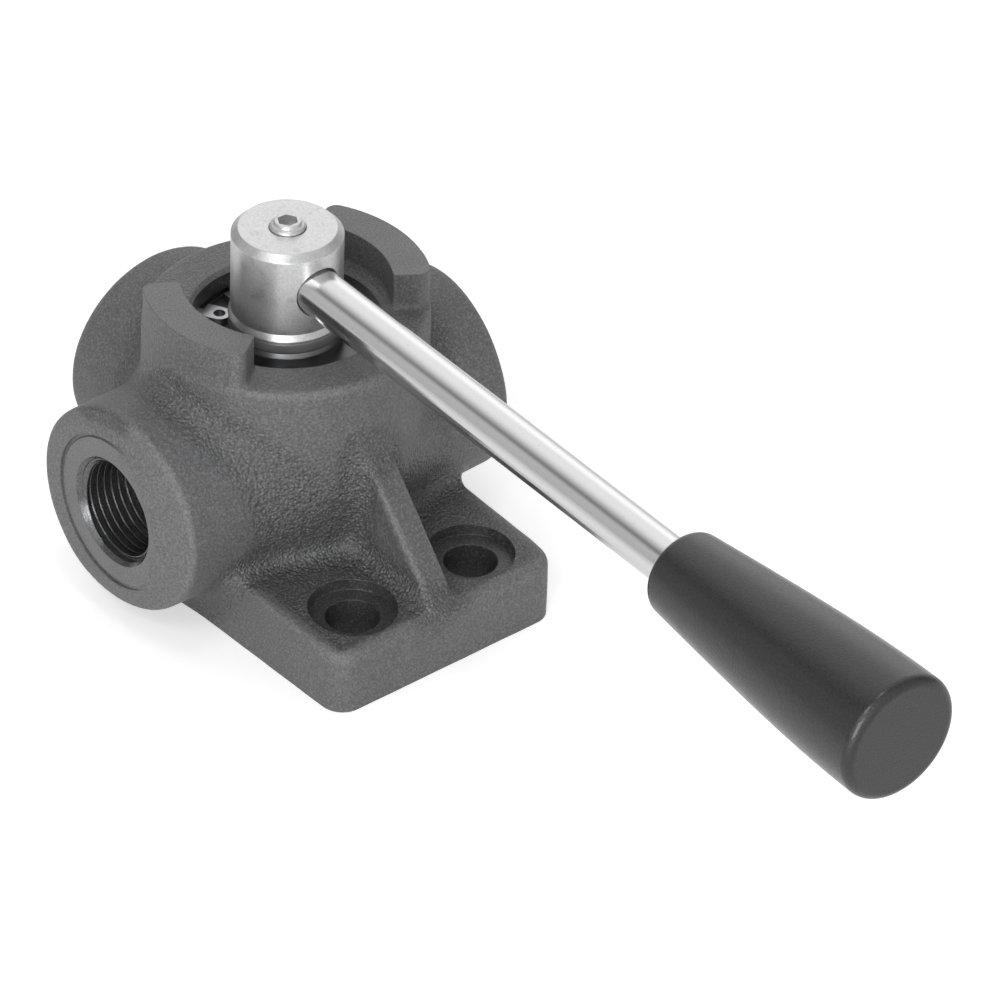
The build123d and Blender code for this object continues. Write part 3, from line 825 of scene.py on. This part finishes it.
# How strongly the surface is rounded outwards, from the field on both sides of each point.
probe = 0.6
here = casting_field(*points)
steps = probe * np.eye(3)[:, :, None]
bend = sum(casting_field(*(points + step)) + casting_field(*(points - step)) - 2 * here
           for step in steps) / probe**2
# Painted highlight: edges that are rounded outwards get a lighter colour.
rubbed = (bend - 0.16) / 0.4
shares = (("near_blend", near), ("dressed", dressed_share), ("settled", settled),
          ("rubbed", rubbed))
for name, share in shares:
    attribute = body.data.attributes.new(name, "FLOAT", "POINT")
    attribute.data.foreach_set("value", np.clip(share, 0, 1).astype(np.float32))
    print(name, "mean:", round(float(np.clip(share, 0, 1).mean()), 3))

# %% [markdown]
# ## Turned rings and the screw
# A lathe never leaves a razor edge: each rim is broken or rounded, and that thin rounding is
# what catches a line of light. The seal, the ring above it and the screw are small and close
# to the eye, so they are made again here with such rims, as outlines turned about the stem.


# %% Rounded outlines
def rounded(corners, radius, steps=4, closed=True):
    """An outline whose corners are short arcs. A pole's point stays as it is."""
    corners = [Vector(corner) for corner in corners]
    result = []
    for i, corner in enumerate(corners):
        if corner.y == 0 or not (closed or 0 < i < len(corners) - 1):
            result.append(tuple(corner))
            continue
        before, after = corners[i - 1] - corner, corners[(i + 1) % len(corners)] - corner
        first = corner + before.normalized() * min(radius, before.length * 0.45)
        last = corner + after.normalized() * min(radius, after.length * 0.45)
        for k in range(steps + 1):
            t = k / steps
            result.append(tuple(
                first * (1 - t) ** 2 + corner * 2 * t * (1 - t) + last * t**2))
    return result


def dressed(piece, body_name, node, sharp_deg=32):
    """Smooth shading with crisp edges, and the piece's place among the bodies; the imported part
    that it stands for is hidden.
    """
    piece.data.polygons.foreach_set("use_smooth", [True] * len(piece.data.polygons))
    piece.data.set_sharp_from_angle(angle=math.radians(sharp_deg))
    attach(piece, body_name)
    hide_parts(node)
    print(piece.name, len(piece.data.polygons), "faces")


dressed(body, "valve", "valve_body")

# %% Wiper seal and bright ring
seal_low, seal_high = (corner.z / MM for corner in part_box("dust_seal"))
seal_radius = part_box("dust_seal")[1].x / MM
ring_low, ring_high = (corner.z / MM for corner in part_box("dust_ring"))
ring_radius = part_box("dust_ring")[1].x / MM
shaft_room = 9.05
case_height = 1.55

seal = turned("wiper_seal", rounded([
    (seal_low, shaft_room), (seal_low, seal_radius), (seal_low + 0.4, seal_radius),
    (seal_low + case_height, seal_radius - 0.75),
    (seal_low + case_height + 0.45, seal_radius - 0.6),
    (seal_low + case_height + 0.6, seal_radius - 0.15),
    (seal_high - 0.8, seal_radius - 0.15), (seal_high - 0.25, seal_radius - 0.5),
    (seal_high, seal_radius - 0.5), (seal_high, shaft_room)], 0.15), 128)
dressed(seal, "valve", "dust_seal")
seal_case = [polygon.center.z / MM < seal_low + case_height for polygon in seal.data.polygons]
bright_ring = turned("bright_ring", rounded([
    (ring_low, shaft_room), (ring_low, ring_radius), (ring_low + 0.25, ring_radius),
    (ring_high, ring_radius - 1.0), (ring_high, shaft_room)], 0.15), 128)
dressed(bright_ring, "lever", "dust_ring")

# %% Socket screw
screw_low, screw_high = (corner.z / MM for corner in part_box("clamp_screw"))
screw_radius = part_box("clamp_screw")[1].x / MM
head_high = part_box("stem")[1].z / MM
socket_across = 4.5
socket_depth = 3.2
collar_radius = screw_radius + 0.45
screw = turned("socket_screw", rounded([
    (screw_low, 0), (screw_low, screw_radius - 0.4), (screw_low + 0.5, screw_radius),
    (head_high - 0.6, screw_radius), (head_high - 0.15, collar_radius),
    (head_high + 0.5, collar_radius), (head_high + 0.95, screw_radius - 0.1),
    (head_high + 1.1, screw_radius - 0.55), (screw_high - 0.1, screw_radius - 0.65),
    (screw_high, 0)], 0.35, closed=False), 96)
socket = turned("socket_cutter", [
    (screw_high - socket_depth, 0), (screw_high - socket_depth, socket_across / 3**0.5),
    (screw_high + 1, socket_across / 3**0.5), (screw_high + 1, 0)], 6)
cut = screw.modifiers.new("socket", "BOOLEAN")
cut.operation = "DIFFERENCE"
cut.solver = "MANIFOLD"
cut.object = socket
baked(screw)
bpy.data.objects.remove(socket)
dressed(screw, "lever", "clamp_screw")

# %% [markdown]
# ## Metals and plastics
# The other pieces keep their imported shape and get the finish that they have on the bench: a
# turned and zinc plated head, a chromed bar, a moulded black grip, rubber, spring steel, brass
# and bearing plastic. Metals keep the default IOR, and their colour is the reflection.


# %% Zinc and chrome
def zinc_plate():
    """Zinc over a turned surface: milky and bright, with rings from the lathe and handling
    specks."""
    material, tree, shader, place = new_material("turned_zinc_plated_steel")
    stretched = add(tree, "ShaderNodeMapping", inputs={"Vector": place, "Scale": (0.06, 0.06, 1)})
    rings = noise(tree, stretched.outputs[0], 0.5, 3.0, 0.6)
    grain = noise(tree, place, 0.55, 3.0, 0.7)
    cloud = noise(tree, place, 4.0, 3.0, 0.6)
    tone = mix_colours(tree, spread(tree, grain, 0.35, 0.65, 0.0, 1.0),
                       colour("#c8c8c9"), colour("#dcdcdc"))
    tone = mix_colours(tree, spread(tree, cloud, 0.42, 0.30, 0.0, 0.3), tone, colour("#9a9a9b"))
    tone = mix_colours(tree, spread(tree, grain, 0.31, 0.25, 0.0, 0.6), tone, colour("#88888a"))
    shader.inputs["Metallic"].default_value = 0.85
    tree.links.new(tone, shader.inputs["Base Color"])
    tree.links.new(spread(tree, cloud, 0.3, 0.7, 0.33, 0.42), shader.inputs["Roughness"])
    normal = bump(tree, rings, 0.02, 0.8, worn_edges(tree, 0.35))
    tree.links.new(bump(tree, grain, 0.02, 0.7, normal), shader.inputs["Normal"])
    return material


def chrome():
    """Drawn bar with hard chrome: a soft mirror, with faint lines along the bar."""
    material, tree, shader, place = new_material("chromed_drawn_bar")
    stretched = add(tree, "ShaderNodeMapping", inputs={"Vector": place, "Scale": (1, 0.02, 1)})
    lines = noise(tree, stretched.outputs[0], 0.35, 2.0, 0.6)
    cloud = noise(tree, place, 9.0, 2.0)
    speck = noise(tree, place, 0.6, 2.0, 0.7)
    tone = mix_colours(tree, spread(tree, speck, 0.33, 0.24, 0.0, 0.7),
                       colour("#dcdcdc"), colour("#8c8c8e"))
    shader.inputs["Metallic"].default_value = 1.0
    tree.links.new(tone, shader.inputs["Base Color"])
    tree.links.new(spread(tree, cloud, 0.3, 0.7, 0.15, 0.2), shader.inputs["Roughness"])
    tree.links.new(bump(tree, lines, 0.006, 0.7), shader.inputs["Normal"])
    return material


# %% Grip, rubber and the rest
def grip_moulding():
    """Black thermoplastic from a fine-eroded mould: satin, with a broad soft gloss under a thin
    smooth skin, which draws the light along the end's rim."""
    material, tree, shader, place = new_material("black_moulded_grip")
    fine = noise(tree, place, 0.5, 3.0, 0.7)
    wave = noise(tree, place, 9.0, 1.0)
    rub = noise(tree, place, 2.6, 4.0, 0.75, 0.8)
    tone = mix_colours(tree, spread(tree, rub, 0.66, 0.74, 0.0, 0.5),
                       colour("#0f0f10"), colour("#3c3c3d"))
    tone = mix_colours(tree, spread(tree, fine, 0.42, 0.60, 0.0, 0.7), tone, colour("#242426"))
    tree.links.new(tone, shader.inputs["Base Color"])
    tree.links.new(spread(tree, fine, 0.35, 0.65, 0.34, 0.46), shader.inputs["Roughness"])
    for name, value in (("Sheen Weight", 0.08), ("Sheen Roughness", 0.3),
                        ("Coat Weight", 0.5), ("Coat Roughness", 0.14)):
        shader.inputs[name].default_value = value
    normal = bump(tree, wave, 0.12, 0.6)
    tree.links.new(bump(tree, fine, 0.15, 1.0, normal), shader.inputs["Normal"])
    return material


def plain_finish(name, tone, metallic, roughness, grain_mm, depth_mm):
    """A finish of one colour with a fine grain and slightly uneven gloss."""
    material, tree, shader, place = new_material(name)
    grain = noise(tree, place, grain_mm, 2.0)
    cloud = noise(tree, place, 5.0, 2.0)
    darker = tuple(c * 0.82 for c in colour(tone)[:3]) + (1.0,)
    mixed = mix_colours(tree, spread(tree, cloud, 0.3, 0.7, 0.0, 1.0), darker, colour(tone))
    shader.inputs["Metallic"].default_value = metallic
    tree.links.new(mixed, shader.inputs["Base Color"])
    tree.links.new(spread(tree, cloud, 0.3, 0.7, roughness * 0.9, roughness * 1.1),
                   shader.inputs["Roughness"])
    tree.links.new(bump(tree, grain, depth_mm, 0.6), shader.inputs["Normal"])
    return material


finishes = {
    "zinc_steel": zinc_plate(),
    "chrome": chrome(),
    "grip_plastic": grip_moulding(),
    "machined_steel": plain_finish("machined_steel", "#8a8a8b", 1.0, 0.35, 0.4, 0.01),
    "spring_steel": plain_finish("oiled_spring_steel", "#b4b4b6", 1.0, 0.30, 0.5, 0.01),
    "brass": plain_finish("turned_brass", "#d6b26a", 1.0, 0.28, 0.4, 0.008),
    "rubber": plain_finish("nitrile_rubber", "#6c6c6d", 0.0, 0.36, 0.35, 0.02),
    "bearing_plastic": plain_finish("acetal_bearing_plastic", "#dcd8cc", 0.0, 0.4, 0.3, 0.01),
}
slots = {row["node"]: row["material_slot"] for row in record["subparts"]}
for name, node in nodes.items():
    if name != "valve_body":
        node.data.materials.clear()
        node.data.materials.append(finishes[slots[name]])
for piece, slot in ((seal, "rubber"), (bright_ring, "zinc_steel"), (screw, "zinc_steel")):
    piece.data.materials.clear()
    piece.data.materials.append(finishes[slot])
seal.data.materials.append(plain_finish("pressed_steel_case", "#8e8e8f", 1.0, 0.4, 0.4, 0.01))
seal.data.polygons.foreach_set("material_index", [int(in_case) for in_case in seal_case])
print("finishes:", sorted(finishes))
